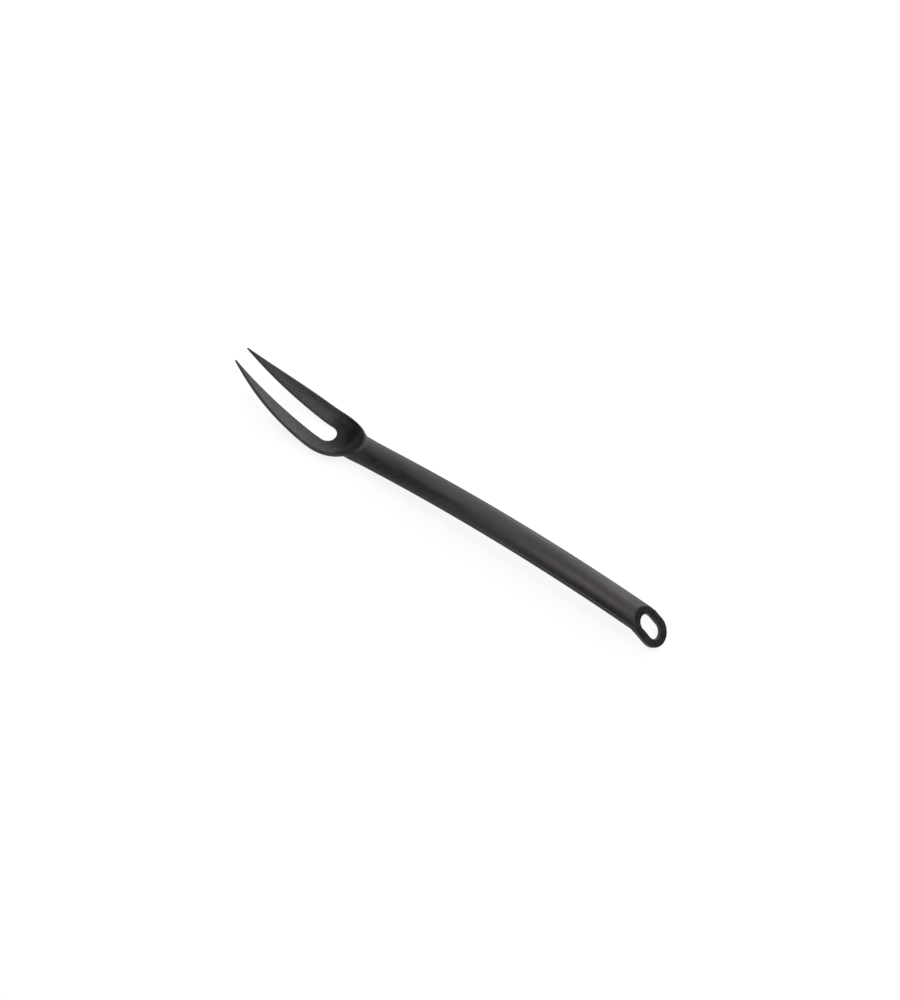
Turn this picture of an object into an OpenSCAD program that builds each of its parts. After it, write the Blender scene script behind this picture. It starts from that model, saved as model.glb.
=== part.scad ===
// Two-tined cooking fork, one black moulding: a cupped two-pronged head, an arched handle and a hanging eye.
// Millimetres. It lies on a table at z = 0 on its belly and on the end of its eye.
// X runs from the tips to the eye, Y across, Z up, with the origin under the middle of its length.

/* [Overall] */
// Length from the tine tips to the far end of the hanging eye
overall_length = 306; // [296:1:320]

/* [Head] */
// Greatest width of the head's upper face, across both tines
head_width = 32.4; // [30:0.2:35]
// Length from the tips to the rear rim of the bowl
head_length = 90.2; // [88:0.2:92]
// Radius of the ball-shaped hollow at the root of the tines
bowl_radius = 34.2; // [32:0.2:36]
// Radius of the long curve that the tines follow
tine_radius = 159; // [154:1:166]
// Slope of the tines at their tips, in degrees
tip_slope = 35.5; // [34:0.5:38]
// Slope at which the long curve runs into the ball-shaped hollow, in degrees
root_slope = 12.5; // [11:0.5:15]
// Thickness of the head's wall
head_thickness = 2.2; // [1.8:0.1:2.6]
// Radius on the upper edges of the head
rim_round = 0.8; // [0.4:0.1:0.9]
// Radius on the lower edges of the head
under_round = 0.5; // [0.3:0.1:0.8]

/* [Tines] */
// Gap between the tines at their tips
tip_gap = 10.7; // [9:0.1:12]
// Gap between the tines at their root, which is also the width of its round end
root_gap = 11.4; // [10:0.1:13]
// Width of a tine at its tip
tip_width = 0.8; // [0.6:0.1:1.4]
// Thickness of a tine at its tip
tip_thickness = 1.2; // [0.9:0.1:1.6]
// Distance from the tip over which a tine reaches the head's full thickness
thinning_length = 30; // [20:1:45]

/* [Handle] */
// Width of the handle
grip_width = 19; // [18:0.2:21]
// Radius of the handle's domed top, across
crown_radius = 15.9; // [15:0.1:20]
// Radius where the dome turns down into the sides
side_round = 2.9; // [2:0.1:3.2]
// Depth below the widest line, also the radius of the lower edges
under_depth = 2.2; // [1.8:0.1:2.6]
// Radius of the arch that the handle follows
arch_radius = 800; // [700:10:1000]
// Height of the small fillet where the handle's top meets the rim
fillet_height = 0.5; // [0:0.1:0.8]
// How much the neck widens on each side towards the head
neck_flare = 0.3; // [0:0.1:0.6]

/* [Hanging eye] */
// Width of the eye's round end
eye_width = 19.9; // [19:0.1:22]
// Downward slope of the eye, in degrees
eye_slope = 33; // [30:0.5:36]
// Thickness of the eye
eye_thickness = 2.8; // [2.4:0.1:3.4]
// Width of the oblong hole
hole_width = 10; // [7:0.2:11]
// Length of the straight part of the hole and of the eye's sides
eye_straight = 6.8; // [5:0.2:9]

/* [Hidden] */

black = "#2b292d";
$fn = 96;

// Counts of stations along the lofts and of points round their sections
tine_stations = 26;
bowl_stations = 25;
neck_stations = 14;
corner_steps = 3;
across_steps = 5;
crown_steps = 10;
side_steps = 5;
arch_segments = 720;
ball_segments = 180;

// The ball-shaped hollow and the ring-shaped hollow that continues it along the tines
outer_ball = bowl_radius + head_thickness;
ring_centre_x = tine_radius * sin(tip_slope);
ball_x = ring_centre_x - (tine_radius - bowl_radius) * sin(root_slope);
rest_radius = (root_gap / 2 + under_round) * outer_ball / bowl_radius;
ball_z = sqrt(outer_ball * outer_ball - rest_radius * rest_radius);
ring_centre_z = ball_z + (tine_radius - bowl_radius) * cos(root_slope);

// Outline of the head, seen from above
half_head = head_width / 2;
rear_length = head_length - ball_x;
nose_length = tip_width * 0.7;
nose_angles = [20, 45, 70];

// Largest share of a wall's width or thickness that the radius on its edge may take
largest_round = 0.48;

// Section of the handle: dome, sides and flat underside, about its widest line
half_grip = grip_width / 2;
side_centre = half_grip - side_round;
crown_centre = -sqrt(pow(crown_radius - side_round, 2) - side_centre * side_centre);
crown_height = crown_radius + crown_centre;
crown_angle = atan2(-crown_centre, side_centre);

// Foremost point of the tips
front = min([for (ring = tine_rings()) for (p = ring) p[0]]);

// Hanging eye: middle of its round end, on its upper face
half_eye = eye_width / 2;
eye_x = front + overall_length - half_eye * cos(eye_slope);
eye_z = half_eye * sin(eye_slope) + eye_thickness * cos(eye_slope);

// The handle's widest line is an arc from under the rear rim to the eye's upper face
rim_angle = asin(rear_length / bowl_radius);
rim_low = [ball_x + outer_ball * sin(rim_angle), ball_z - outer_ball * cos(rim_angle)];
arch_front = [rim_low[0], rim_low[1] - crown_height];
arch_rear = [eye_x - eye_straight * cos(eye_slope), eye_z + eye_straight * sin(eye_slope)];
arch_chord = arch_rear - arch_front;
arch_tilt = atan2(arch_chord[1], arch_chord[0]);
arch_drop = sqrt(arch_radius * arch_radius - pow(norm(arch_chord) / 2, 2));
arch_centre = (arch_front + arch_rear) / 2 + arch_drop * [sin(arch_tilt), -cos(arch_tilt)];

// Towards the head the neck loses this share of its depth, and its flare runs out this much sooner
neck_thinning = 0.5;
flare_haste = 1.2;

// Angles on the arch at which the neck, the handle and the eye meet or end
neck_length = 4;
neck_reach = 17;
eye_block_length = 9;
neck_end = arch_angle(arch_front[0] + neck_length);
neck_start = arch_angle(arch_front[0] - neck_reach);
handle_end = arch_angle(arch_rear[0] - eye_block_length);
block_end = arch_angle(arch_rear[0] + eye_straight / 2);

// The eye's parallel sides run on under the handle's flanks for this far past the hole's straight part
root_overlap = 6;

// Distance by which the eye's sides stay under the handle's widest line
root_drop = 0.3;

// Size that only has to reach past the material it cuts
cut_size = 60;

function arch_angle(x) = acos((x - arch_centre[0]) / arch_radius);

// A point of the head: its foot on the hollow's surface is at x, y, and it lies the given depth below it
function head_point(x, y, depth) =
    let (side = y / bowl_radius)
    let (level = sqrt(1 - side * side))
    let (ball_slope = (x - ball_x) / (bowl_radius * level))
    let (in_ball = ball_slope > -sin(root_slope))
    let (spread = tine_radius - bowl_radius)
    let (slope = in_ball ? ball_slope : (x - ring_centre_x) / (spread + bowl_radius * level))
    let (fall = sqrt(1 - slope * slope))
    let (guide_x = in_ball ? ball_x : ring_centre_x + spread * slope)
    let (guide_z = in_ball ? ball_z : ring_centre_z - spread * fall)
    let (r = bowl_radius + depth)
    [guide_x + r * slope * level, r * side, guide_z - r * fall * level];

// Quarter of a round corner, in the section's own plane
function corner(centre, r, from, steps) =
    [for (k = [0:steps]) centre + r * [cos(from + 90 * k / steps), sin(from + 90 * k / steps)]];

// Section of the head's wall: width from the slot outwards, depth downwards, rounded edges
function wall_section(width, depth) =
    let (room = largest_round * min(width, depth))
    let (top = min(rim_round, room))
    let (low = min(under_round, room))
    concat(
        corner([top, top], top, 180, corner_steps),
        [for (k = [1:across_steps - 1]) [top + (width - 2 * top) * k / across_steps, 0]],
        corner([width - top, top], top, 270, corner_steps),
        corner([width - low, depth - low], low, 0, corner_steps),
        [for (k = [1:across_steps - 1]) [width - low - (width - 2 * low) * k / across_steps, depth]],
        corner([low, depth - low], low, 90, corner_steps));

// Ring of points round the wall between its slot side and its outer side, shrunk about its middle by the factor
function wall_ring(inner, outer, thickness, factor = 1) =
    let (width = norm(outer - inner))
    let (edge = (1 - factor) / 2)
    [for (q = wall_section(width * factor, thickness * factor))
        let (foot = inner + (outer - inner) * (edge + q[0] / width))
        head_point(foot[0], foot[1], q[1] + thickness * edge)];

// Ring of a tine at a distance from the tips
function tine_ring(x, factor = 1) =
    let (back = 1 - x / ball_x)
    let (outer = half_head - (half_head - tip_gap / 2 - tip_width) * back * back)
    let (inner = root_gap / 2 - (root_gap - tip_gap) / 2 * back)
    let (grown = min(1, x / thinning_length))
    let (thickness = tip_thickness + (head_thickness - tip_thickness) * sin(90 * grown))
    wall_ring([x, -inner], [x, -outer], thickness, factor);

function tine_rings() =
    concat(
        [for (a = nose_angles) tine_ring(nose_length * (1 - cos(a)), sin(a))],
        [for (k = [0:tine_stations]) tine_ring(nose_length + (ball_x - nose_length) * k / tine_stations)]);

// Ring of the bowl at an angle round the slot's end
function bowl_ring(a) =
    wall_ring(
        [ball_x + root_gap / 2 * cos(a), root_gap / 2 * sin(a)],
        [ball_x + rear_length * cos(a), half_head * sin(a)],
        head_thickness);

// A point of the handle: angle on the arch, offset across, height over the widest line
function arch_point(angle, y, height) =
    [arch_centre[0] + (arch_radius + height) * cos(angle), y, arch_centre[1] + (arch_radius + height) * sin(angle)];

// Right half of the handle's section, from the underside up to the dome's side
function half_section(under, flare) =
    concat(
        corner([half_grip + flare - under, 0], under, -90, side_steps),
        [for (k = [1:side_steps])
            let (a = crown_angle * k / side_steps)
            [side_centre + flare + side_round * cos(a), side_round * sin(a)]]);

// Ring of the neck: a swept handle section that gets shallower towards the head and lifts into a small fillet
function neck_ring(angle) =
    let (x = arch_centre[0] + arch_radius * cos(angle))
    let (inward = max(0, (arch_front[0] + neck_length - x) / (neck_length + neck_reach)))
    let (under = under_depth * (1 - neck_thinning * sin(90 * inward)))
    let (flare = neck_flare * sin(180 * min(1, flare_haste * inward)))
    let (near = max(0, 1 - max(0, x - arch_front[0]) / neck_length))
    let (lift = fillet_height * near * near)
    let (right = half_section(under, flare))
    let (dome = [for (k = [1:crown_steps - 1])
        let (a = crown_angle + (180 - 2 * crown_angle) * k / crown_steps)
        [crown_radius * cos(a), crown_centre + crown_radius * sin(a)]])
    let (left = [for (k = [len(right) - 1:-1:0]) [-right[k][0], right[k][1]]])
    [for (q = concat(right, dome, left)) arch_point(angle, q[0], q[1] + lift * max(0, q[1]) / crown_height)];

// Closed skin through a list of rings with equal counts of points
module loft(rings) {
    count = len(rings[0]);
    last = len(rings) - 1;
    points = [for (ring = rings) for (p = ring) p];
    sides = [for (i = [0:last - 1]) for (j = [0:count - 1])
        let (next = (j + 1) % count)
        let (a = i * count + j)
        let (b = i * count + next)
        each [[a, b, b + count], [a, b + count, a + count]]];
    caps = [[for (j = [count - 1:-1:0]) j], [for (j = [0:count - 1]) last * count + j]];
    polyhedron(points = points, faces = concat(sides, caps), convexity = 6);
}

// Section of the handle, made of true arcs: width along X, height over the widest line along Y
module grip_section() {
    intersection() {
        union() {
            for (side = [-1, 1]) {
                translate([side * side_centre, 0]) circle(r = side_round);
            }
            intersection() {
                translate([0, crown_centre]) circle(r = crown_radius);
                polygon([[0, crown_centre], 2 * [side_centre, -crown_centre] + [0, crown_centre],
                    2 * [-side_centre, -crown_centre] + [0, crown_centre]]);
            }
        }
        translate([-half_grip, 0]) square([grip_width, crown_height + 1]);
    }
    for (side = [-1, 1]) {
        translate([side * (half_grip - under_depth), 0]) circle(r = under_depth);
    }
    translate([under_depth - half_grip, -under_depth])
        square([grip_width - 2 * under_depth, under_depth]);
}

// The handle's section swept along the arch between two of its angles
module arch_sweep(from, to) {
    translate([arch_centre[0], 0, arch_centre[1]])
        rotate([90, 0, 0])
        rotate([0, 0, to])
        rotate_extrude(angle = from - to, $fn = arch_segments)
        translate([arch_radius, 0])
        rotate(-90)
        grip_section();
}

// Places what is drawn flat on the upper face of the eye, with its length along X
module on_eye() {
    translate([eye_x, 0, eye_z]) rotate([0, eye_slope, 0]) children();
}

// Outline of the eye: a round end and parallel sides
module eye_outline() {
    circle(d = eye_width);
    translate([-eye_straight - root_overlap, -half_eye]) square([eye_straight + root_overlap, eye_width]);
}

// Oblong hole with round ends
module hole_outline() {
    circle(d = hole_width);
    translate([-eye_straight, 0]) circle(d = hole_width);
    translate([-eye_straight, -hole_width / 2]) square([eye_straight, hole_width]);
}

// The eye's slab; ahead of its straight part only what lies under the handle's widest line is kept
module eye_slab() {
    difference() {
        on_eye() translate([0, 0, -eye_thickness]) linear_extrude(eye_thickness) eye_outline();
        translate([arch_rear[0], 0, arch_rear[1]])
            rotate([0, 90 - arch_angle(arch_rear[0]), 0])
            translate([-cut_size, -cut_size / 2, -root_drop])
            cube(cut_size);
    }
}

// Moves the model from the tips to its own middle
module centred() {
    translate([-front - overall_length / 2, 0, 0]) children();
}

module tine() {
    loft(tine_rings());
}

module left_tine() {
    color(black) centred() tine();
}

module right_tine() {
    color(black) centred() mirror([0, 1, 0]) tine();
}

module bowl() {
    color(black) centred() loft([for (k = [0:bowl_stations]) bowl_ring(-90 + 180 * k / bowl_stations)]);
}

module neck() {
    color(black) centred() difference() {
        loft([for (k = [0:neck_stations]) neck_ring(neck_start + (neck_end - neck_start) * k / neck_stations)]);
        translate([ball_x, 0, ball_z]) sphere(r = outer_ball, $fn = ball_segments);
    }
}

module handle() {
    color(black) centred() arch_sweep(neck_end, handle_end);
}

module hanging_eye() {
    color(black) centred() difference() {
        union() {
            difference() {
                arch_sweep(handle_end, block_end);
                on_eye() translate([-cut_size / 2, -cut_size / 2, 0]) cube(cut_size);
            }
            eye_slab();
        }
        on_eye() translate([0, 0, -cut_size / 2]) linear_extrude(cut_size) hole_outline();
    }
}

left_tine();
right_tine();
bowl();
neck();
handle();
hanging_eye();
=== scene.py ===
# %% [markdown]
# A cooking fork moulded in one piece from black nylon
#
# The fork is a single moulding: a cupped head with two tines, an arched handle with a domed top, and a
# flat sloping eye to hang it by. A moulding has hardly a straight edge to snap to, so the surfaces here
# are computed point by point from a few radii, the same ones that the solid model was built from.
# Lengths are written in millimetres, which is how such a fork is drawn, and turned into Blender's metres
# where a mesh is made. The frame below holds the solid pieces that these looks are fitted over.

import math

import bpy
import numpy as np
from mathutils import Matrix, Vector


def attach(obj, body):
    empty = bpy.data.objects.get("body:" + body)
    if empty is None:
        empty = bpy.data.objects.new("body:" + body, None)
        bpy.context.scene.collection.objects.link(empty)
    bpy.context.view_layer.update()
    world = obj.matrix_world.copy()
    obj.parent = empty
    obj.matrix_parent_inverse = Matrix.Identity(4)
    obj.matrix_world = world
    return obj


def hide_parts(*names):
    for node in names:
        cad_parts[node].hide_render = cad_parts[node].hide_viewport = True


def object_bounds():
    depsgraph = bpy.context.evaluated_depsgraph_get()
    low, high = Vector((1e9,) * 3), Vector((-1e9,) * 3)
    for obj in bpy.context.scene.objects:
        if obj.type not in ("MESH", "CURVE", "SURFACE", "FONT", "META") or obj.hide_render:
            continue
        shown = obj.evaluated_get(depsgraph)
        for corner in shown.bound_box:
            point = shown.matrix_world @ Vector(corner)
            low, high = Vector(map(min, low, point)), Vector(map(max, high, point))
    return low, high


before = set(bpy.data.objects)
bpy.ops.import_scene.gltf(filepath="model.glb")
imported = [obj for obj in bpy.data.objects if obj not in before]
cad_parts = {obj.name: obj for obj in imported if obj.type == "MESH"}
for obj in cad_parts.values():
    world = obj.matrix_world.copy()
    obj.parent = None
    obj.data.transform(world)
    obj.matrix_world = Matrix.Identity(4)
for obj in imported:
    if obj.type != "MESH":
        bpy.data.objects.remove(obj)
cad_box = [list(corner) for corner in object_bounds()]
MM = 0.001
print("solid pieces:", ", ".join(sorted(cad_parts)))
print("box in mm:", [[round(v / MM, 2) for v in corner] for corner in cad_box])

# %% [markdown]
# The camera
#
# The camera stands where the photographer stood: in front of the left tine and above the fork, a little
# under 0.8 m away. Its axes come from matching the fork's outline with the picture. A camera object looks
# along its own -Z with +Y up, so the three directions fill the columns of its rotation matrix.

# %% Camera
CAMERA_PLACE = Vector((155.6, -377.0, 672.7)) * MM
CAMERA_RIGHT = Vector((0.8326, 0.5416, 0.1157))
CAMERA_FORWARD = Vector((-0.1974, 0.4854, -0.8517))
LENS = 46.8
SENSOR = 36.0


def place_camera():
    data = bpy.data.cameras.new("camera")
    data.lens = LENS
    data.sensor_width = SENSOR
    camera = bpy.data.objects.new("camera", data)
    forward = CAMERA_FORWARD.normalized()
    up = CAMERA_RIGHT.cross(forward).normalized()
    right = forward.cross(up)
    turned = Matrix((right, up, -forward)).transposed().to_4x4()
    camera.matrix_world = Matrix.Translation(CAMERA_PLACE) @ turned
    bpy.context.collection.objects.link(camera)
    bpy.context.scene.camera = camera
    return camera


camera = place_camera()
print("camera is %.3f m from the middle of the fork" % camera.location.length)

# %% [markdown]
# Sizes of the head
#
# The head is a bent strip of plastic. Its upper face lies on a ball at the root of the tines and on a
# ring along them, so that one radius runs across the fork and another along it. X is measured from the
# tips here; TO_MIDDLE, further down, moves everything to the middle of the fork. The ball's middle is as
# high as it must be for the slot's round end to rest on the table.

# %% Sizes of the head
LENGTH = 306.0
HALF_HEAD = 16.2
HEAD_LENGTH = 90.2
BOWL_RADIUS = 34.2
TINE_RADIUS = 159.0
TIP_SLOPE = math.radians(35.5)
ROOT_SLOPE = math.radians(12.5)
WALL = 2.2
UNDER_ROUND = 0.5
ROOT_GAP = 11.4

OUTER_BALL = BOWL_RADIUS + WALL
RING_X = TINE_RADIUS * math.sin(TIP_SLOPE)
BALL_X = RING_X - (TINE_RADIUS - BOWL_RADIUS) * math.sin(ROOT_SLOPE)
REST_RADIUS = (ROOT_GAP / 2 + UNDER_ROUND) * OUTER_BALL / BOWL_RADIUS
BALL_Z = math.sqrt(OUTER_BALL ** 2 - REST_RADIUS ** 2)
RING_Z = BALL_Z + (TINE_RADIUS - BOWL_RADIUS) * math.cos(ROOT_SLOPE)
REAR_LENGTH = HEAD_LENGTH - BALL_X
print("the ball-shaped hollow is %.1f mm behind the tips and its middle %.1f mm up" % (BALL_X, BALL_Z))


# %% [markdown]
# A point of the head
#
# Every point of the head is given by where its foot stands on the upper face, seen from above, and how
# deep under that face it lies. A Solidify modifier would give an even wall too. Working with depth does
# the same in one formula, and the rounded edges come with it.

# %% Surface of the head
def head_points(x, y, depth):
    level = np.sqrt(1 - (y / BOWL_RADIUS) ** 2)
    spread = TINE_RADIUS - BOWL_RADIUS
    in_ball = (x - BALL_X) / (BOWL_RADIUS * level)
    in_ring = (x - RING_X) / (spread + BOWL_RADIUS * level)
    is_ball = in_ball > -math.sin(ROOT_SLOPE)
    slope = np.where(is_ball, in_ball, in_ring)
    fall = np.sqrt(1 - slope ** 2)
    guide_x = np.where(is_ball, BALL_X, RING_X + spread * slope)
    guide_z = np.where(is_ball, BALL_Z, RING_Z - spread * fall)
    r = BOWL_RADIUS + depth
    return np.stack([guide_x + r * slope * level, r * y / BOWL_RADIUS, guide_z - r * fall * level], axis=-1)


tip_height, rim_height = head_points(np.array([0, HEAD_LENGTH]), np.zeros(2), 0)[:, 2]
print("the upper face is %.1f mm up at the tips and %.1f mm at the rear rim" % (tip_height, rim_height))

# %% [markdown]
# The section of the wall
#
# Cut across, the wall is a flat strip with rounded edges: 0.8 mm on the upper side, which hands and food
# touch, and 0.5 mm below. Near the tips the strip gets too small for these radii, so they shrink with it
# until the tip is nearly round. An arc of the section starts towards one of its four sides and turns on
# by a quarter.

# %% Section of the wall
RIM_ROUND = 0.8
LARGEST_ROUND = 0.42
CORNER_STEPS = 6
ACROSS_STEPS = 16
QUARTER = 90
TO_OUTER, TO_LOWER, TO_INNER, TO_UPPER = 0, 90, 180, 270


def arc(middle, radius, start):
    a = np.radians(start + QUARTER * np.arange(CORNER_STEPS + 1) / CORNER_STEPS)
    return np.stack([middle[0] + radius * np.cos(a), middle[1] + radius * np.sin(a)], axis=-1)


def wall_section(width, depth):
    top = min(RIM_ROUND, LARGEST_ROUND * width, LARGEST_ROUND * depth)
    low = min(UNDER_ROUND, LARGEST_ROUND * width, LARGEST_ROUND * depth)
    k = np.arange(1, ACROSS_STEPS) / ACROSS_STEPS
    upper = np.stack([top + (width - 2 * top) * k, 0 * k], axis=-1)
    lower = np.stack([width - low - (width - 2 * low) * k, 0 * k + depth], axis=-1)
    return np.concatenate([
        arc((top, top), top, TO_INNER), upper,
        arc((width - top, top), top, TO_UPPER),
        arc((width - low, depth - low), low, TO_OUTER), lower,
        arc((low, depth - low), low, TO_LOWER)])


print("a section of the wall has", len(wall_section(HALF_HEAD, WALL)), "points")

# %% [markdown]
# A ring of the wall
#
# A ring is that section set across the strip, from its inner edge at the slot to its outer edge. Inside
# the cup the upper face is scooped out up to a millimetre deeper than the ball, mostly towards the rim,
# which makes the rear wall steep and dark right up to its edge. The scoop fades with depth, so that the
# cup stays the same from outside.

# %% Rings of the wall
SCOOP = 1.0
SCOOP_SHIFT = 1.5


def scoop(across, rearward):
    return SCOOP * rearward * np.sin(np.pi * np.clip(across, 0, 1) ** SCOOP_SHIFT)


def wall_ring(inner, outer, thickness, factor=1.0, rearward=0.0):
    width = np.linalg.norm(outer - inner)
    edge = (1 - factor) / 2
    q = wall_section(width * factor, thickness * factor)
    across = edge + q[:, 0] / width
    foot = inner + (outer - inner) * across[:, None]
    deeper = scoop(across, rearward) * (1 - q[:, 1] / thickness)
    return head_points(foot[:, 0], foot[:, 1], q[:, 1] + thickness * edge + deeper)


print("the scoop is up to %.2f mm deep" % scoop(np.linspace(0, 1), 1).max())

# %% [markdown]
# Rings along the head
#
# The strip runs from the left tip round the slot's end to the right tip. A ring of points stands across
# it at every station, and neighbouring rings are joined by quads, which is what Blender's Bridge Edge
# Loops does by hand. The tips close with a few shrinking rings, so that they are blunt and not cut off.

# %% Rings of the tines and the bowl
TIP_GAP = 10.7
TIP_WIDTH = 0.8
TIP_THICKNESS = 1.2
THINNING = 30.0
NOSE_SHARE = 0.7
NOSE_LENGTH = TIP_WIDTH * NOSE_SHARE
NOSE_ANGLES = (12, 20, 45, 58, 70)
TINE_STATIONS = 90
BOWL_STATIONS = 72


def tine_ring(x, factor=1.0):
    back = 1 - x / BALL_X
    outer = HALF_HEAD - (HALF_HEAD - TIP_GAP / 2 - TIP_WIDTH) * back ** 2
    inner = ROOT_GAP / 2 - (ROOT_GAP - TIP_GAP) / 2 * back
    thickness = TIP_THICKNESS + (WALL - TIP_THICKNESS) * math.sin(math.pi / 2 * min(1, x / THINNING))
    return wall_ring(np.array([x, -inner]), np.array([x, -outer]), thickness, factor)


def nose_ring(a):
    return tine_ring(NOSE_LENGTH * (1 - math.cos(a)), math.sin(a))


def bowl_ring(a):
    return wall_ring(
        np.array([BALL_X + ROOT_GAP / 2 * math.cos(a), ROOT_GAP / 2 * math.sin(a)]),
        np.array([BALL_X + REAR_LENGTH * math.cos(a), HALF_HEAD * math.sin(a)]),
        WALL, rearward=math.cos(a) ** 2)


stations = [NOSE_LENGTH + (BALL_X - NOSE_LENGTH) * k / TINE_STATIONS for k in range(TINE_STATIONS + 1)]
turns = np.radians(-QUARTER + 2 * QUARTER * np.arange(1, BOWL_STATIONS) / BOWL_STATIONS)
left_rings = np.array([nose_ring(math.radians(a)) for a in NOSE_ANGLES] + [tine_ring(x) for x in stations])
right_rings = left_rings[::-1] * np.array([1, -1, 1])
bowl_rings = np.array([bowl_ring(a) for a in turns])
head_grid = np.concatenate([left_rings, bowl_rings, right_rings])
FRONT = left_rings[:, :, 0].min()
TO_MIDDLE = np.array([-FRONT - LENGTH / 2, 0, 0])
print("head:", head_grid.shape[0], "rings of", head_grid.shape[1], "points, foremost at %.2f mm" % FRONT)

# %% [markdown]
# Normals and bends
#
# The normals are worked out on the whole strip, so that they run on across the places where the tines
# meet the bowl, and the shading doesn't show where a piece ends. Every point also keeps how sharply the
# surface bends there, as one over the radius in millimetres. The finish reads it later, to rub the edges
# a little brighter. A Bevel node finds edges too, but it is slow, and only one of Blender's renderers
# has it.

# %% Normals and bends
TINY = 1e-12


def ring_normals(grid):
    along = np.gradient(grid, axis=0)
    across = np.roll(grid, -1, axis=1) - np.roll(grid, 1, axis=1)
    n = np.cross(across, along)
    n /= np.maximum(np.linalg.norm(n, axis=-1, keepdims=True), TINY)
    outwards = ((grid - grid.mean(axis=1, keepdims=True)) * n).sum()
    return n if outwards > 0 else -n


def bending(points, faces, normals):
    edges = np.array([(face[k - 1], face[k]) for face in faces for k in range(len(face))])
    a, b = edges.T
    step = points[b] - points[a]
    bend = ((normals[b] - normals[a]) * step).sum(axis=-1) / np.maximum((step * step).sum(axis=-1), TINY)
    total, count = np.zeros(len(points)), np.zeros(len(points))
    for end in (a, b):
        np.add.at(total, end, bend)
        np.add.at(count, end, 1)
    return total / count


head_normals = ring_normals(head_grid)
print("the root of the left tine faces up by %.2f" % head_normals[len(left_rings) - 1, ACROSS_STEPS, 2])

# %% [markdown]
# A piece of the fork
#
# One function turns points and faces into a Blender object. It stores the normals and the bends with the
# mesh, hangs the object under the fork's root body, and hides the solid piece that the new one stands for.
# Rounding can put a point a few thousandths of a millimetre outside the solid model's box, so all points
# are clipped to that box.

# %% Mesh to piece
def add_piece(name, points, faces, normals, corner_normals, node):
    mesh = bpy.data.meshes.new(name)
    kept_inside = np.clip((points + TO_MIDDLE) * MM, *cad_box)
    mesh.from_pydata(kept_inside.tolist(), [], faces)
    for polygon in mesh.polygons:
        polygon.use_smooth = True
    mesh.normals_split_custom_set(corner_normals)
    bend = mesh.attributes.new("bend", "FLOAT", "POINT")
    bend.data.foreach_set("value", bending(points, faces, normals))
    piece = bpy.data.objects.new(name, mesh)
    bpy.context.collection.objects.link(piece)
    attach(piece, "root")
    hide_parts(node)
    print(name, len(points), "points,", len(faces), "faces")
    return piece


# %% [markdown]
# From rings to closed pieces
#
# Each piece of the head takes its own stretch of rings, and flat caps close it at both ends. The caps are
# inside the fork, where nobody sees them, but they make every piece a sound solid. The quads must all
# face outwards, so the code looks which way round the last ring turns before it writes them.

# %% Tines and bowl
def ring_faces(rings, count, flip):
    faces = []
    for i in range(rings - 1):
        for j in range(count):
            k = (j + 1) % count
            quad = (i * count + j, i * count + k, (i + 1) * count + k, (i + 1) * count + j)
            faces.append(quad if flip else quad[::-1])
    start = tuple(range(count))
    end = tuple((rings - 1) * count + j for j in range(count))
    return faces, [start[::-1] if flip else start, end if flip else end[::-1]]


def piece_from_rings(name, grid, normals, node):
    rings, count = grid.shape[:2]
    ahead = grid[-1].mean(axis=0) - grid[-2].mean(axis=0)
    turning = np.cross(grid[-1][1] - grid[-1][0], normals[-1][0])
    faces, caps = ring_faces(rings, count, (turning @ ahead) < 0)
    flat = normals.reshape(-1, 3)
    corner_normals = [flat[v].tolist() for face in faces for v in face]
    for cap, direction in zip(caps, (grid[0].mean(axis=0) - grid[1].mean(axis=0), ahead)):
        corner_normals += [(direction / np.linalg.norm(direction)).tolist()] * len(cap)
    return add_piece(name, grid.reshape(-1, 3), faces + caps, flat, corner_normals, node)


left_end = len(left_rings) - 1
right_start = left_end + len(bowl_rings) + 1
head_stretches = (
    ("left_tine", slice(0, left_end + 1)),
    ("bowl", slice(left_end, right_start + 1)),
    ("right_tine", slice(right_start, len(head_grid))))
pieces = []
for node, part in head_stretches:
    pieces.append(piece_from_rings(node + "_skin", head_grid[part], head_normals[part], node))

# %% [markdown]
# The arch of the handle
#
# The handle's widest line is an arc of 800 mm radius, from just under the bowl's rear rim to the upper
# face of the eye. Its section is a dome that turns down into the sides, with a flat underside. All of it
# is circles that meet without a kink, which is how such a section is drawn for the mould maker.

# %% Sizes of the handle and the eye
HALF_GRIP = 9.5
CROWN_RADIUS = 15.9
SIDE_ROUND = 2.9
UNDER_DEPTH = 2.2
ARCH_RADIUS = 800.0
NECK_LENGTH = 4.0
HALF_EYE = 9.95
EYE_SLOPE = math.radians(33)
EYE_THICKNESS = 2.8
EYE_STRAIGHT = 6.8
EYE_BLOCK = 9.0

SIDE_CENTRE = HALF_GRIP - SIDE_ROUND
CROWN_CENTRE = -math.sqrt((CROWN_RADIUS - SIDE_ROUND) ** 2 - SIDE_CENTRE ** 2)
CROWN_HEIGHT = CROWN_RADIUS + CROWN_CENTRE
CROWN_ANGLE = math.degrees(math.atan2(-CROWN_CENTRE, SIDE_CENTRE))
EYE_X = FRONT + LENGTH - HALF_EYE * math.cos(EYE_SLOPE)
EYE_Z = HALF_EYE * math.sin(EYE_SLOPE) + EYE_THICKNESS * math.cos(EYE_SLOPE)
rim_angle = math.asin(REAR_LENGTH / BOWL_RADIUS)
ARCH_FRONT = np.array([BALL_X + OUTER_BALL * math.sin(rim_angle),
                       BALL_Z - OUTER_BALL * math.cos(rim_angle) - CROWN_HEIGHT])
ARCH_REAR = np.array([EYE_X - EYE_STRAIGHT * math.cos(EYE_SLOPE),
                      EYE_Z + EYE_STRAIGHT * math.sin(EYE_SLOPE)])
chord = ARCH_REAR - ARCH_FRONT
tilt = math.atan2(chord[1], chord[0])
drop = math.sqrt(ARCH_RADIUS ** 2 - (np.linalg.norm(chord) / 2) ** 2)
ARCH_CENTRE = (ARCH_FRONT + ARCH_REAR) / 2 + drop * np.array([math.sin(tilt), -math.cos(tilt)])
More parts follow.
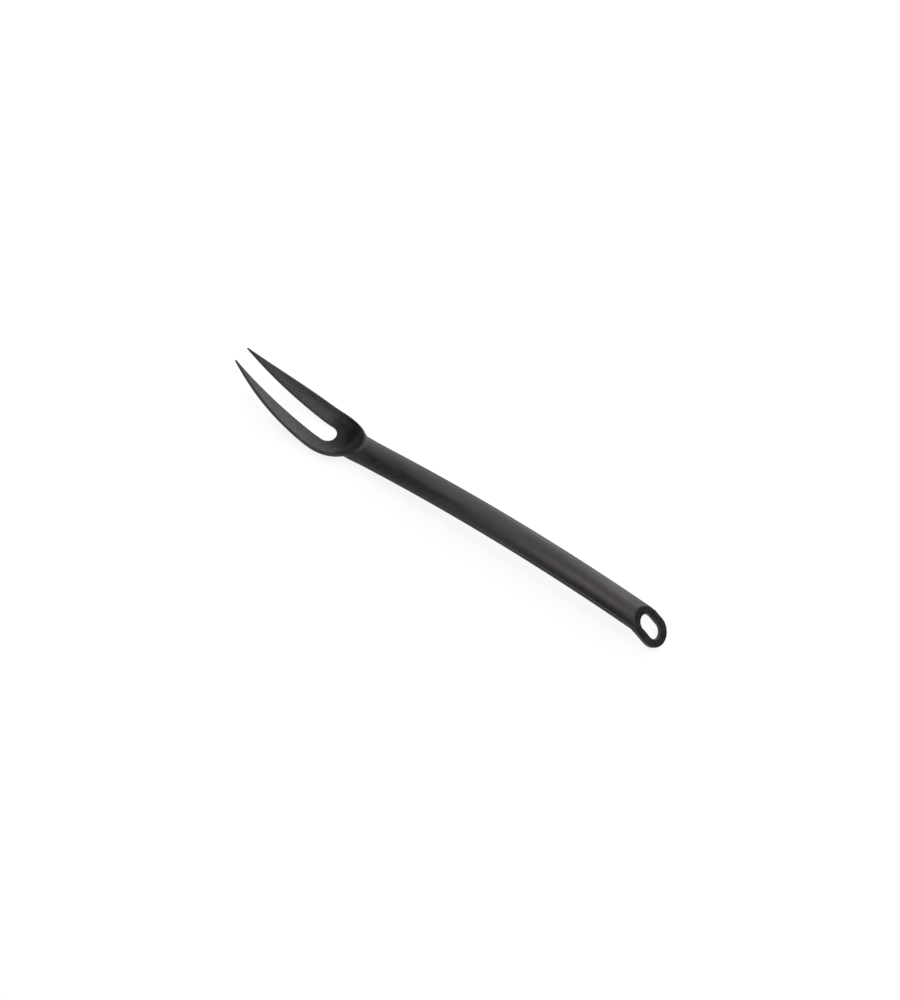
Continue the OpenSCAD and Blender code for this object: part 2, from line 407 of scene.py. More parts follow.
print("the dome stands %.2f mm over the widest line" % CROWN_HEIGHT)
print("the arch is %.1f mm long" % np.linalg.norm(chord))

# %% [markdown]
# The section of the handle
#
# The section is a list of points round the grip, each with the direction that it faces: a lower edge and
# a side on the right, the dome, the same sides mirrored on the left, and the flat underside. Knowing the
# directions exactly makes the dome shade like one clean surface.

# %% Section of the handle
CROWN_STEPS = 40
SIDE_STEPS = 10
UNDERSIDE_STEPS = 8


def grip_section():
    right = []
    for k in range(SIDE_STEPS):
        a = math.radians(-QUARTER + QUARTER * k / SIDE_STEPS)
        right.append((HALF_GRIP - UNDER_DEPTH + UNDER_DEPTH * math.cos(a), UNDER_DEPTH * math.sin(a), a))
    for k in range(SIDE_STEPS):
        a = math.radians(CROWN_ANGLE * k / SIDE_STEPS)
        right.append((SIDE_CENTRE + SIDE_ROUND * math.cos(a), SIDE_ROUND * math.sin(a), a))
    dome = []
    for k in range(CROWN_STEPS + 1):
        a = math.radians(CROWN_ANGLE + 2 * (QUARTER - CROWN_ANGLE) * k / CROWN_STEPS)
        dome.append((CROWN_RADIUS * math.cos(a), CROWN_CENTRE + CROWN_RADIUS * math.sin(a), a))
    left = [(-y, h, math.pi - a) for y, h, a in reversed(right)]
    flat = HALF_GRIP - UNDER_DEPTH
    steps = [2 * k / UNDERSIDE_STEPS - 1 for k in range(1, UNDERSIDE_STEPS)]
    under = [(flat * step, -UNDER_DEPTH, -math.pi / 2) for step in steps]
    return np.array(right + dome + left + under)


section = grip_section()
print("section of", len(section), "points, %.1f mm wide" % np.ptp(section[:, 0]))

# %% [markdown]
# The handle
#
# The handle is its section swept along the arch, as a curve with a bevel object would do it. Over its
# first 26 mm the dome rises a little further than the arch does, to come up level with the rim of the
# cup, and the normals lean with that rise.

# %% Handle
CROWN_LIFT = 1.4
LIFT_REACH = 26.0
PROBE = 0.01
HANDLE_STATIONS = 80


def crown_lift(x):
    near = np.clip(1 - (x - ARCH_FRONT[0]) / LIFT_REACH, 0, 1)
    return CROWN_LIFT * near ** 2


def arch_angle(x):
    return math.acos((x - ARCH_CENTRE[0]) / ARCH_RADIUS)


def handle_ring(angle):
    y, h, lean = section.T
    out, ahead = np.array([math.cos(angle), math.sin(angle)]), np.array([-math.sin(angle), math.cos(angle)])
    dome_share = np.maximum(h, 0) / CROWN_HEIGHT
    x = ARCH_CENTRE[0] + ARCH_RADIUS * out[0]
    lift = crown_lift(x)
    r = ARCH_RADIUS + h + lift * dome_share
    ring = np.stack([ARCH_CENTRE[0] + r * out[0], y, ARCH_CENTRE[1] + r * out[1]], axis=-1)
    climb = (crown_lift(x + ahead[0] * PROBE) - lift) / PROBE * dome_share
    stretch = 1 + np.where(h > 0, lift / CROWN_HEIGHT, 0)
    n = np.sin(lean)[:, None] * (out - climb[:, None] * ahead)
    n = np.stack([n[:, 0], stretch * np.cos(lean), n[:, 1]], axis=-1)
    return ring, n / np.linalg.norm(n, axis=-1, keepdims=True)


NECK_END = arch_angle(ARCH_FRONT[0] + NECK_LENGTH)
HANDLE_END = arch_angle(ARCH_REAR[0] - EYE_BLOCK)
angles = [NECK_END + (HANDLE_END - NECK_END) * k / HANDLE_STATIONS for k in range(HANDLE_STATIONS + 1)]
handle_rings, handle_normals = zip(*[handle_ring(a) for a in angles])
pieces.append(piece_from_rings("handle_skin", np.array(handle_rings), np.array(handle_normals), "handle"))

# %% [markdown]
# Carving with distances
#
# The neck and the hanging eye are where several forms run into each other, and a moulding has a small
# fillet at every such place. Booleans and a Bevel modifier can do this, but bevels break where curved
# faces meet at changing angles. Here each form is a function that tells how far a point is outside it.
# Taking the smaller of two distances joins two forms, taking the larger keeps what they share, and
# softening that choice over a millimetre gives the fillets and rounded edges for free.

# %% Joining and cutting with soft edges
def joined(a, b, soft):
    near = np.maximum(soft - np.abs(a - b), 0)
    return np.minimum(a, b) - near ** 2 / (4 * soft)


def shared(a, b, soft):
    return -joined(-a, -b, soft)


print("softened over 1 mm, two forms fill the corner between them by %.2f mm" % -joined(0.0, 0.0, 1.0))

# %% [markdown]
# The handle as a distance
#
# The neck and the eye both begin as the handle, so its section is needed as a distance too. Each point
# asks the circle that it is nearest to. A flare lets the sides stand a little wider, which the neck uses.

# %% Distance from the handle
def along_arch(p):
    out = p[:, [0, 2]] - ARCH_CENTRE
    return np.arctan2(out[:, 1], out[:, 0]), np.hypot(out[:, 0], out[:, 1]) - ARCH_RADIUS


def grip_distance(y, h, under=UNDER_DEPTH, flare=0.0):
    side = np.abs(y) - flare
    in_dome = np.arctan2(h - CROWN_CENTRE, side) > math.radians(CROWN_ANGLE)
    dome = np.hypot(np.abs(y) - np.minimum(flare, np.abs(y)), h - CROWN_CENTRE) - CROWN_RADIUS
    shoulder = np.hypot(side - SIDE_CENTRE, h) - SIDE_ROUND
    corner = side - (HALF_GRIP - under)
    lower = np.where(corner > 0, np.hypot(corner, h), -h) - under
    return np.where(h > 0, np.where(in_dome, dome, shoulder), lower)


stray = np.abs(grip_distance(section[:, 0], section[:, 1])).max()
print("the points of the handle's section lie within %.0e mm of that form" % stray)

# %% [markdown]
# Samples without knots
#
# To get a mesh, the space round a form is divided into small cells, and the distance is asked at every
# corner. Where a sheet is thinner than a cell, the four corners of a cell's side can lie inside and
# outside like the fields of a chessboard. Four faces would share one edge there, which no printer or
# simulation likes. So one of those corners, the one nearest the surface, is counted as inside.

# %% Samples of a form
SIDES = ((0, 1), (0, 2), (1, 2))
ROUND_A_SIDE = ((0, 0), (1, 0), (1, 1), (0, 1))


def sampled(distance, low, high, cell):
    counts = [int(math.ceil((b - a) / cell)) + 1 for a, b in zip(low, high)]
    axes = [a + cell * np.arange(n) for a, n in zip(low, counts)]
    nodes = np.stack(np.meshgrid(*axes, indexing="ij"), axis=-1)
    return nodes, distance(nodes.reshape(-1, 3)).reshape(counts)


def crossed_sides(values, number, i, j):
    rings = []
    for step_i, step_j in ROUND_A_SIDE:
        part = [slice(None)] * 3
        part[i] = slice(step_i, values.shape[i] - 1 + step_i)
        part[j] = slice(step_j, values.shape[j] - 1 + step_j)
        rings.append(number[tuple(part)].reshape(-1))
    rings = np.stack(rings, axis=-1)
    first, second, third, fourth = (values.reshape(-1)[rings] < 0).T
    return rings[(first == third) & (second == fourth) & (first != second)]


def untangle(values):
    number = np.arange(values.size).reshape(values.shape)
    flat = values.reshape(-1)
    filled = 0
    while True:
        rings = np.concatenate([crossed_sides(values, number, i, j) for i, j in SIDES])
        if len(rings) == 0:
            return filled
        height = np.where(flat[rings] < 0, np.inf, flat[rings])
        flat[rings[np.arange(len(rings)), height.argmin(axis=1)]] = -TINY
        filled += len(rings)


print("cells are checked in", len(SIDES), "directions, on", len(ROUND_A_SIDE), "corners of a side")

# %% [markdown]
# Points and faces round a form
#
# Wherever a cell's corners lie on both sides of the surface the cell gets one point, in the middle of
# where the surface cuts its edges. Every edge that the surface cuts gets one face, between the points of
# the four cells round it. This is known as surface nets, and it makes an even mesh of quads.

# %% Points and faces of a skin
CORNERS = np.array([(i, j, k) for i in (0, 1) for j in (0, 1) for k in (0, 1)])
CELL_EDGES = [(c, d) for c in CORNERS for d in CORNERS if (d - c).sum() == 1 and (d - c).min() >= 0]


def at_corner(grid, corner):
    i, j, k = corner
    a, b, c = grid.shape[:3]
    return grid[i:a - 1 + i, j:b - 1 + j, k:c - 1 + k]


def first_points(nodes, values, cell):
    cells = [n - 1 for n in values.shape]
    total, weight = np.zeros(cells + [3]), np.zeros(cells)
    for c, d in CELL_EDGES:
        va, vb = at_corner(values, c), at_corner(values, d)
        crossing = (va < 0) != (vb < 0)
        share = np.where(crossing, va / np.where(crossing, va - vb, 1), 0)
        point = at_corner(nodes, c) + share[..., None] * cell * (d - c)
        total += crossing[..., None] * point
        weight += crossing
    active = weight > 0
    index = np.full(cells, -1)
    index[active] = np.arange(active.sum())
    return total[active] / weight[active][:, None], index


def faces_across(inside, index, axis):
    lead, after = [slice(1, -1)] * 3, [slice(1, -1)] * 3
    lead[axis], after[axis] = slice(None, -1), slice(1, None)
    first = 1 - np.eye(3, dtype=int)[axis]
    place = np.argwhere(inside[tuple(lead)] != inside[tuple(after)]) + first
    step_b, step_c = np.roll(np.eye(3, dtype=int), -axis - 1, axis=0)[:2]
    quad = [index[tuple((place - s).T)] for s in (step_b + step_c, step_c, 0 * step_b, step_b)]
    ring = np.stack(quad, axis=-1)
    return np.where(inside[tuple(place.T)][:, None], ring, ring[:, ::-1])


print("a cell has", len(CORNERS), "corners and", len(CELL_EDGES), "edges")

# %% [markdown]
# A skin that lies on the form
#
# The points are slid along the steepest slope of the distance until they lie on the surface itself. The
# normals are the direction in which the distance grows fastest, so a fillet shades smoothly even where
# the cells are coarse.

# %% Skin round a form
SLIDES = 4
SMALLEST_SLOPE = 1e-6


def uphill(distance, p):
    slopes = []
    for axis in range(3):
        step = np.zeros(3)
        step[axis] = PROBE
        slopes.append((distance(p + step) - distance(p - step)) / (2 * PROBE))
    return np.stack(slopes, axis=-1)


def slid(distance, points):
    g = uphill(distance, points)
    steepness = np.maximum((g * g).sum(axis=-1, keepdims=True), SMALLEST_SLOPE)
    return points - distance(points)[:, None] * g / steepness


def skin_round(distance, low, high, cell):
    nodes, values = sampled(distance, low, high, cell)
    filled = untangle(values)
    print("corners counted as inside:", filled)
    points, index = first_points(nodes, values, cell)
    faces = np.concatenate([faces_across(values < 0, index, axis) for axis in range(3)])
    for _ in range(SLIDES):
        points = slid(distance, points)
    normals = uphill(distance, points)
    normals /= np.maximum(np.linalg.norm(normals, axis=-1, keepdims=True), TINY)
    return points, faces, normals


def piece_from_skin(name, distance, low, high, cell, node):
    points, faces, normals = skin_round(distance, low, high, cell)
    corner_normals = normals[faces.reshape(-1)].tolist()
    return add_piece(name, points, faces.tolist(), normals, corner_normals, node)


# %% [markdown]
# The wall of the cup as a distance
#
# The neck grows out of the bowl's wall, so the wall is needed as a distance as well. A point's depth
# under the upper face is easy: it is how much further than the ball's radius it is from the ball's
# middle. For its distance from the outer edge, the code closes in, step by step, on the oval that runs
# through the point, between the slot's round end and the head's outline.

# %% Distance from the bowl
OUTLINE_STEPS = 8
OUTLINE_REACH = 3


def from_bowl_edge(p):
    out = p - np.array([BALL_X, 0, BALL_Z])
    r = np.linalg.norm(out, axis=-1)
    x, y = np.abs(out[:, 0]) * BOWL_RADIUS / r, np.abs(out[:, 1]) * BOWL_RADIUS / r
    start, grow_x, grow_y = ROOT_GAP / 2, REAR_LENGTH - ROOT_GAP / 2, HALF_HEAD - ROOT_GAP / 2
    t = np.ones(len(p))
    for _ in range(OUTLINE_STEPS):
        a, b = start + grow_x * t, start + grow_y * t
        over = (x / a) ** 2 + (y / b) ** 2 - 1
        slope = -2 * (x ** 2 * grow_x / a ** 3 + y ** 2 * grow_y / b ** 3)
        t = np.clip(t - over / np.minimum(slope, -SMALLEST_SLOPE), 0, OUTLINE_REACH)
    a, b = start + grow_x * t, start + grow_y * t
    cos, sin = x / a, y / b
    width = np.hypot(grow_x * cos, grow_y * sin)
    return (t - 1) * width, r - BOWL_RADIUS, scoop(t, cos ** 2)


def bowl_distance(edge, depth):
    upper = np.hypot(np.maximum(edge + RIM_ROUND, 0), np.maximum(RIM_ROUND - depth, 0)) - RIM_ROUND
    low_edge, low_face = np.maximum(edge + UNDER_ROUND, 0), np.maximum(depth - WALL + UNDER_ROUND, 0)
    low = np.hypot(low_edge, low_face) - UNDER_ROUND
    rounded = np.where(depth < WALL / 2, upper, low)
    return np.where(rounded > -UNDER_ROUND, rounded, np.maximum(edge, np.abs(depth - WALL / 2) - WALL / 2))


at_rim = head_points(np.array([HEAD_LENGTH]), np.zeros(1), 0)
print("the rear rim is %.3f mm from the outer edge" % abs(from_bowl_edge(at_rim)[0][0]))

# %% [markdown]
# The neck
#
# The neck carries the bowl: it is the front end of the handle's sweep, shallower towards the head and a
# touch wider, and its dome comes up level with the cup's rim. A small fillet softens the line where the
# two meet. The hollow of the cup cuts it off with a rounded edge, and what lies deeper in the bowl's own
# wall is taken away from the neck again. At its rear it reaches a little way into the handle and sinks
# under the handle's surface, so that the seam between the two meshes doesn't show.

# %% Neck
NECK_REACH = 17.0
NECK_FLARE = 0.3
FLARE_FADE = 1.2
UNDER_FADE = 0.5
FILLET = 1.5
RIM_EDGE = 0.8
SKIN_GAP = 0.02
WALL_OVERLAP = 0.9
SEAM_OVERLAP = 0.4
SEAM_SINK = 0.05


def neck_root(p, angle, h):
    x = ARCH_CENTRE[0] + ARCH_RADIUS * np.cos(angle)
    inward = np.clip((ARCH_FRONT[0] + NECK_LENGTH - x) / (NECK_LENGTH + NECK_REACH), 0, 1)
    under = UNDER_DEPTH * (1 - UNDER_FADE * np.sin(np.pi / 2 * inward))
    flare = NECK_FLARE * np.sin(np.pi * np.minimum(1, FLARE_FADE * inward))
    dome = h / (1 + np.where(h > 0, crown_lift(x) / CROWN_HEIGHT, 0))
    return grip_distance(p[:, 1], dome, under, flare), ARCH_FRONT[0] - NECK_REACH - x


def neck_distance(p):
    angle, h = along_arch(p)
    root, ahead = neck_root(p, angle, h)
    edge, depth, deeper = from_bowl_edge(p)
    form = joined(root, bowl_distance(edge, depth) + SKIN_GAP, FILLET)
    form = np.maximum(shared(form, SKIN_GAP + deeper - depth, RIM_EDGE), root - FILLET)
    in_bowl = np.minimum(WALL - WALL_OVERLAP - depth, -edge - WALL_OVERLAP)
    behind = (NECK_END - angle) * ARCH_RADIUS
    sunk = form + SEAM_SINK * np.clip(behind / SEAM_OVERLAP, 0, 1)
    return np.maximum.reduce([sunk, in_bowl, ahead, behind - SEAM_OVERLAP])


NECK_CELL = 0.3
NECK_TOP = 14.0
MARGIN = 1.0
half_neck = HALF_GRIP + NECK_FLARE + FILLET + MARGIN
neck_low = (ARCH_FRONT[0] - NECK_REACH - MARGIN, -half_neck, -MARGIN)
neck_high = (ARCH_FRONT[0] + NECK_LENGTH + SEAM_OVERLAP + MARGIN, half_neck, NECK_TOP)
pieces.append(piece_from_skin("neck_skin", neck_distance, neck_low, neck_high, NECK_CELL, "neck"))

# %% [markdown]
# The hanging eye
#
# At its rear end the handle is cut off by a sloping plane, and the flat eye carries on along that plane.
# Its sides are parallel and its end is round, and the hole is the same shape, smaller. Every edge has a
# small radius: in a mould a really sharp edge would neither fill nor last. In the code, u runs along the
# eye towards its end and t is the height over its upper face.

# %% Hanging eye
HOLE_RADIUS = 5.0
ROOT_OVERLAP = 6.0
ROOT_DROP = 0.3
EYE_EDGE = 0.5
EYE_FILLET = 0.6


def oblong(u, v, radius, back):
    return np.hypot(np.where(u > 0, u, np.minimum(u + back, 0)), v) - radius


def eye_slab(p, u, t):
    outline = oblong(u, p[:, 1], HALF_EYE, EYE_STRAIGHT + ROOT_OVERLAP + HALF_EYE)
    slab = shared(outline, np.abs(t + EYE_THICKNESS / 2) - EYE_THICKNESS / 2, EYE_EDGE)
    rear = p[:, [0, 2]] - ARCH_REAR
    lean = arch_angle(ARCH_REAR[0])
    over = rear[:, 0] * math.cos(lean) + rear[:, 1] * math.sin(lean) + ROOT_DROP
    under_handle = np.where(u < -EYE_STRAIGHT, over, -EYE_THICKNESS)
    return np.maximum(slab, np.maximum(under_handle, -u - EYE_STRAIGHT - ROOT_OVERLAP))


def eye_distance(p):
    angle, h = along_arch(p)
    out = p - np.array([EYE_X, 0, EYE_Z])
    u = out[:, 0] * math.cos(EYE_SLOPE) - out[:, 2] * math.sin(EYE_SLOPE)
    t = out[:, 0] * math.sin(EYE_SLOPE) + out[:, 2] * math.cos(EYE_SLOPE)
    block = shared(grip_distance(p[:, 1], h), t, EYE_EDGE)
    form = joined(block, eye_slab(p, u, t), EYE_FILLET)
    form = shared(form, -oblong(u, p[:, 1], HOLE_RADIUS, EYE_STRAIGHT), EYE_EDGE)
    ahead = (angle - HANDLE_END) * ARCH_RADIUS
    sunk = form + SEAM_SINK * np.clip(ahead / SEAM_OVERLAP, 0, 1)
    return np.maximum(sunk, ahead - SEAM_OVERLAP)


EYE_CELL = 0.26
EYE_TOP = 20.0
eye_low = (ARCH_REAR[0] - EYE_BLOCK - SEAM_OVERLAP - MARGIN, -HALF_EYE - MARGIN, -MARGIN)
eye_high = (FRONT + LENGTH + MARGIN, HALF_EYE + MARGIN, EYE_TOP)
pieces.append(piece_from_skin("hanging_eye_skin", eye_distance, eye_low, eye_high, EYE_CELL, "hanging_eye"))

# %% [markdown]
# Small helpers for materials
#
# A finish is a chain of nodes. add_node makes one and fills its sockets, with a number or with the output
# of another node. ranged stretches a value from one range to another and stops at the ends, combined does
# a sum with two values, and blended mixes two colours. The mix node has several sockets of one name, so
# its colours are found by their place in the list.

# %% Helpers for nodes
COLOUR_A, COLOUR_B, COLOUR_OUT = 6, 7, 2


def add_node(tree, kind, sockets=None, **settings):
    node = tree.nodes.new(kind)
    for name, value in settings.items():
        setattr(node, name, value)
    for name, value in (sockets or {}).items():
        if isinstance(value, bpy.types.NodeSocket):
            tree.links.new(value, node.inputs[name])
        else:
            node.inputs[name].default_value = value
    return node


def ranged(tree, value, low, high, at_low, at_high):
    limits = {"From Min": low, "From Max": high, "To Min": at_low, "To Max": at_high}
    return add_node(tree, "ShaderNodeMapRange", {"Value": value, **limits}).outputs["Result"]


def combined(tree, operation, a, b):
    return add_node(tree, "ShaderNodeMath", {0: a, 1: b}, operation=operation).outputs[0]


def blended(tree, share, a, b):
    mix = add_node(tree, "ShaderNodeMix", {0: share, COLOUR_A: a, COLOUR_B: b}, data_type="RGBA")
    return mix.outputs[COLOUR_OUT]


# %% [markdown]
# Lumps in the plastic
#
# Glass-filled nylon is uneven at every scale: the mould's fine grain, glass fibres that cloud the skin
# in lumps of two millimetres, blotches and patches up to the length of a thumb, streaks where the
# plastic flowed or was scraped. All are noise, and each needs its size in millimetres, how much smaller
# detail it has, and how many times longer than wide its lumps are. The noise is read in the object's own
# coordinates, so it sticks to the fork and runs on over the seams between the pieces.

# %% Noise in millimetres
GRAIN = (0.3, 2, 1)
SPECKS = (1.3, 2, 1.6)
CLOUDS = (2.2, 3, 1)
STREAKS = (0.8, 2, 12)
BLOTCHES = (5, 2, 1.5)
PATCHES = (14, 2, 3)


def noise_of(tree, size, detail, stretch):
    place = add_node(tree, "ShaderNodeTexCoord")
    lumps = 1 / (size * MM)
    scaled = add_node(tree, "ShaderNodeMapping",
                      {"Vector": place.outputs["Object"], "Scale": (lumps / stretch, lumps, lumps)})
    return add_node(tree, "ShaderNodeTexNoise",
                    {"Vector": scaled.outputs[0], "Scale": 1, "Detail": detail}).outputs["Fac"]


print("the finest lumps are %.1f mm and the longest %.0f mm long" % (GRAIN[0], PATCHES[0] * PATCHES[2]))

# %% [markdown]
# Where the fork is worn
#
# Pans and food rub the tines, and a hand or a hook rubs the last few centimetres of the handle. Both are
# found from the place along the fork, and fade out towards the rest, which stays calmer. Sharp edges wear
# first. They are found from the bend that every point keeps, and the clouds break them up, because no
# edge wears evenly.

# %% Worn places
TINE_END = (-70 * MM, -88 * MM)
GRASPED_END = (85 * MM, 125 * MM)
HAND_WEAR = 0.5
EDGE_BEND = (0.25, 0.9)
EDGE_CLOUDS = (0.35, 0.6)
LEAST_RUBBED = 0.2


def worn_places(tree):
    place = add_node(tree, "ShaderNodeTexCoord")
    along = add_node(tree, "ShaderNodeSeparateXYZ", {0: place.outputs["Object"]}).outputs["X"]
    on_tines = ranged(tree, along, *TINE_END, 0, 1)
    grasped = ranged(tree, along, *GRASPED_END, 0, HAND_WEAR)
    return on_tines, combined(tree, "MAXIMUM", on_tines, grasped)


def rubbed_edges(tree, clouds):
    bend = add_node(tree, "ShaderNodeAttribute", attribute_name="bend").outputs["Fac"]
    broken_up = ranged(tree, clouds, *EDGE_CLOUDS, LEAST_RUBBED, 1)
    return combined(tree, "MULTIPLY", ranged(tree, bend, *EDGE_BEND, 0, 1), broken_up)


print("the tines' wear begins %.0f mm before the middle of the fork" % (-TINE_END[0] / MM))

# %% [markdown]
# The colour
#
# The plastic is nearly black with a trace of purple. Worn skin turns milky in marks that follow the
# clouds and streaks, and elsewhere only large blotches are a little paler. Rubbed edges are a trace
# lighter, and where the skin has gone a few pale specks of glass show.

# %% Colour of the nylon
BLACK = (0.0036, 0.0027, 0.0042, 1)
CLOUDY = (0.021, 0.019, 0.022, 1)
RUBBED = (0.020, 0.018, 0.021, 1)
GLASS = (0.060, 0.056, 0.062, 1)
MARKED = (0.85, 1.35)
BLOTCHED = (0.4, 0.7)
BLOTCH_SHARE = 0.35
GLASS_SHOWS = (0.66, 0.76)


def nylon_colour(tree, uneven, blotches, worn, rubbed):
    marks = ranged(tree, uneven, *MARKED, 0, 1)
    milky = blended(tree, worn, ranged(tree, blotches, *BLOTCHED, 0, BLOTCH_SHARE), marks)
    skin = blended(tree, rubbed, blended(tree, milky, BLACK, CLOUDY), RUBBED)
    specks = ranged(tree, noise_of(tree, *SPECKS), *GLASS_SHOWS, 0, 1)
    return blended(tree, combined(tree, "MULTIPLY", specks, worn), skin, GLASS)


print("the black reflects %.4f of the light" % np.mean(BLACK[:3]))

# %% [markdown]
# The gloss
#
# The plastic is never quite matt and never even. Its roughness swings about a middle value, with the
# clouds most where it is worn, and with the large patches everywhere. Rubbed edges are smoother.

# %% Roughness of the nylon
ROUGHNESS = 0.38
CLOUD_RANGE = (0.6, 1.4)
CLOUD_SPREAD = 0.10
PATCH_RANGE = (0.3, 0.7)
PATCH_SPREAD = 0.05
EDGE_GLOSS = 0.08


def nylon_roughness(tree, uneven, strength, rubbed):
    cloudy = ranged(tree, uneven, *CLOUD_RANGE, -CLOUD_SPREAD, CLOUD_SPREAD)
    cloudy = combined(tree, "MULTIPLY", cloudy, strength)
    around = (ROUGHNESS - PATCH_SPREAD, ROUGHNESS + PATCH_SPREAD)
    patchy = ranged(tree, noise_of(tree, *PATCHES), *PATCH_RANGE, *around)
    smoothed = combined(tree, "MULTIPLY", rubbed, EDGE_GLOSS)
    return combined(tree, "SUBTRACT", combined(tree, "ADD", cloudy, patchy), smoothed)


spread = CLOUD_SPREAD + PATCH_SPREAD
print("roughness from %.2f to %.2f" % (ROUGHNESS - spread - EDGE_GLOSS, ROUGHNESS + spread))

# %% [markdown]
# The grain
#
# The mould leaves a grain of a few hundredths of a millimetre, far too small for the mesh, so it is a
# bump. A second bump under it follows the clouds and the streaks, and is stronger where the fork is worn.

# %% Grain of the nylon
GRAIN_DEPTH = 0.02 * MM
GRAIN_STRENGTH = 0.5
RELIEF_DEPTH = 0.25 * MM
RELIEF_STRENGTH = 0.4


def nylon_grain(tree, uneven, strength):
    fine = add_node(tree, "ShaderNodeBump", {
        "Height": noise_of(tree, *GRAIN), "Strength": GRAIN_STRENGTH, "Distance": GRAIN_DEPTH})
    relief = combined(tree, "MULTIPLY", uneven, strength)
    return add_node(tree, "ShaderNodeBump", {
        "Height": relief, "Strength": RELIEF_STRENGTH, "Distance": RELIEF_DEPTH,
        "Normal": fine.outputs[0]}).outputs[0]


print("the grain is %.2f mm deep and the relief %.2f mm" % (GRAIN_DEPTH / MM, RELIEF_DEPTH / MM))

# %% [markdown]
# Black nylon
#
# Here the finish comes together. What is the same all over, how strongly the plastic mirrors and the
# faint tint of that, is set on the shader itself. The rest comes from the chains above: away from the
# worn places the unevenness is only half as strong, and it has blotches where the tines have streaks.

# %% Nylon
SPECULAR_LEVEL = 0.4
SPECULAR_TINT = (1, 0.92, 1, 1)
CALM = 0.5


def nylon():
    material = bpy.data.materials.new("black_nylon_finish")
    material.use_nodes = True
    tree = material.node_tree
    shader = tree.nodes["Principled BSDF"]
    shader.inputs["Specular IOR Level"].default_value = SPECULAR_LEVEL
    shader.inputs["Specular Tint"].default_value = SPECULAR_TINT
    on_tines, worn = worn_places(tree)
    strength = ranged(tree, worn, 0, 1, CALM, 1)
    clouds, blotches, streaks = [noise_of(tree, *lumps) for lumps in (CLOUDS, BLOTCHES, STREAKS)]
    uneven = combined(tree, "ADD", clouds, blended(tree, on_tines, blotches, streaks))
    rubbed = rubbed_edges(tree, clouds)
    looks = {
        "Base Color": nylon_colour(tree, uneven, blotches, worn, rubbed),
        "Roughness": nylon_roughness(tree, uneven, strength, rubbed),
        "Normal": nylon_grain(tree, uneven, strength)}
    for name, output in looks.items():
        tree.links.new(output, shader.inputs[name])
    return material


finish = nylon()
for piece in pieces:
    piece.data.materials.append(finish)
print("one finish for", len(pieces), "pieces, with", len(finish.node_tree.nodes), "nodes")

# %% [markdown]
# The white ground
#
# The picture has a pure white ground with no end to it. White card on a table gives that in a studio. Here
# the card is white where the camera or a reflection sees it, and part of that white is real reflected
# light, so the fork still throws a faint shadow on it. Further out, where the lamps don't reach, the
# white is all its own, so that no edge shows. For all other light it is plain white card.

# %% White ground
GROUND_SIZE = 6.0
CARD = 0.8
GLOW = 0.82
LIFT = 0.04
LIT_PART = (0.5, 1.3)


def seen_directly(tree):
    path = add_node(tree, "ShaderNodeLightPath")
    total = path.outputs["Is Camera Ray"]
    for kind in ("Is Glossy Ray", "Is Transmission Ray"):
        total = combined(tree, "MAXIMUM", total, path.outputs[kind])
    return total


def white_card():
    material = bpy.data.materials.new("white_card")
    material.use_nodes = True
    tree = material.node_tree
    tree.nodes.clear()
    card = add_node(tree, "ShaderNodeBsdfDiffuse", {"Color": (CARD, CARD, CARD, 1)})
    lit = add_node(tree, "ShaderNodeBsdfDiffuse", {"Color": (1 - GLOW, 1 - GLOW, 1 - GLOW, 1)})
    place = add_node(tree, "ShaderNodeTexCoord").outputs["Object"]
    away = add_node(tree, "ShaderNodeVectorMath", {0: place}, operation="LENGTH").outputs["Value"]
    own_light = ranged(tree, away, *LIT_PART, GLOW + LIFT, 1)
    glow = add_node(tree, "ShaderNodeEmission", {"Strength": own_light})
    bright = add_node(tree, "ShaderNodeAddShader", {0: lit.outputs[0], 1: glow.outputs[0]})
    mix = add_node(tree, "ShaderNodeMixShader", {
        "Fac": seen_directly(tree), 1: card.outputs[0], 2: bright.outputs[0]})
    add_node(tree, "ShaderNodeOutputMaterial", {"Surface": mix.outputs[0]})
    return material


bpy.ops.mesh.primitive_plane_add(size=GROUND_SIZE)
ground = bpy.context.object
ground.name = "ground"
ground.data.materials.append(white_card())
print("white ground of %.0f m" % GROUND_SIZE)

# %% [markdown]
# The air behind the ground
#
# The world behind the card's edge is white to the same rays and gives no light of its own. Higher up it
# fades to a dark grey, as a paper backdrop ends and the room begins. Nobody looks up there, but the
# black plastic mirrors it, and the cup and the eye owe their depth to it.

# %% White air
BACKDROP_END = (0.10, 0.25)
UPPER_AIR = 0.1


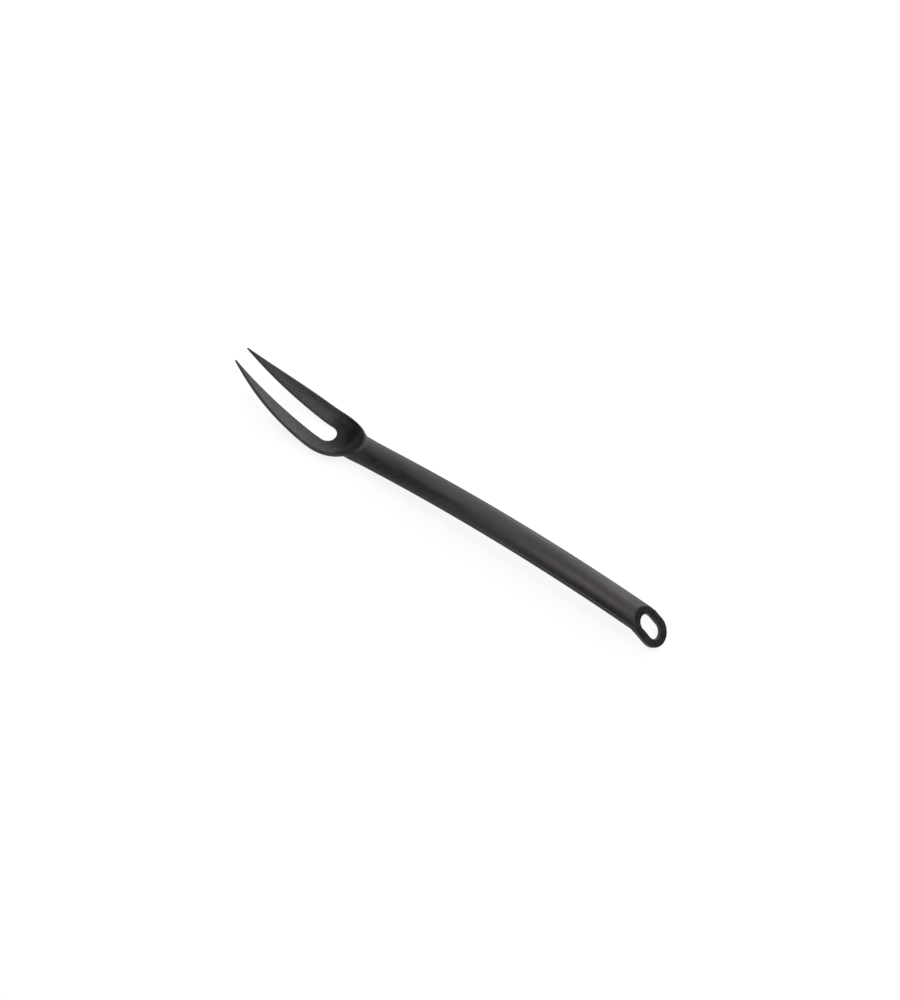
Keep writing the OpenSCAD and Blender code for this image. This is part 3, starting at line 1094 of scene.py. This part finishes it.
def white_air():
    world = bpy.data.worlds.new("white_air")
    world.use_nodes = True
    tree = world.node_tree
    background = tree.nodes["Background"]
    background.inputs["Color"].default_value = (1, 1, 1, 1)
    direction = add_node(tree, "ShaderNodeTexCoord").outputs["Generated"]
    height = add_node(tree, "ShaderNodeSeparateXYZ", {0: direction}).outputs["Z"]
    fade = ranged(tree, height, *BACKDROP_END, 1, UPPER_AIR)
    fade.node.interpolation_type = "SMOOTHSTEP"
    tree.links.new(combined(tree, "MULTIPLY", seen_directly(tree), fade), background.inputs["Strength"])
    return world


bpy.context.scene.world = white_air()
ends = [math.degrees(math.asin(height)) for height in BACKDROP_END]
print("the white backdrop fades out between %.0f and %.0f degrees over the table" % tuple(ends))

# %% [markdown]
# The light
#
# Black plastic shows almost nothing but reflections, so the lamps are what draws its form. Thirteen round
# softboxes stand on a dome round the fork. Most of their light comes from behind it, high and low, which
# gives the far flank and the tines their sheen. The overhead ones model the top of the handle, and a low
# one beside the camera puts the thin light line along the near edge. Together they are as bright as
# plain daylight on a white sheet, so that every colour shows about as it is written. Each row gives a
# lamp's direction and height in degrees, and its power in watts.

# %% Light
LAMP_DISTANCE = 1.5
LAMP_WIDTH = 0.7
SOFTBOXES = (
    ("overhead", 0, 88, 4.5),
    ("overhead_eye_side", 0, 60, 3.7),
    ("overhead_back", 60, 60, 2.1),
    ("overhead_tip_side", 120, 60, 3.4),
    ("overhead_front", 240, 60, 1.7),
    ("back_high", 72, 36, 5.9),
    ("back_high_tip_side", 108, 36, 2.7),
    ("back_low_eye_side", 60, 12, 1.5),
    ("back_low", 90, 12, 3.6),
    ("back_low_tip_side", 120, 12, 2.0),
    ("front_high", 252, 36, 2.1),
    ("front_low", 270, 12, 3.7),
    ("front_low_tip_side", 240, 12, 1.0))


def softbox(name, azimuth, elevation, power):
    data = bpy.data.lights.new(name, "AREA")
    data.shape = "DISK"
    data.size = LAMP_WIDTH
    data.energy = power
    lamp = bpy.data.objects.new(name, data)
    a, e = math.radians(azimuth), math.radians(elevation)
    towards = Vector((math.cos(e) * math.cos(a), math.cos(e) * math.sin(a), math.sin(e)))
    lamp.location = towards * LAMP_DISTANCE
    lamp.rotation_euler = towards.to_track_quat("Z", "Y").to_euler()
    bpy.context.collection.objects.link(lamp)
    return power / (math.pi * LAMP_DISTANCE ** 2) * towards.z


level = sum(softbox(*row) for row in SOFTBOXES) / math.pi
print("the lamps light a level white sheet to %.2f" % level)
bpy.context.scene.view_settings.view_transform = "Standard"
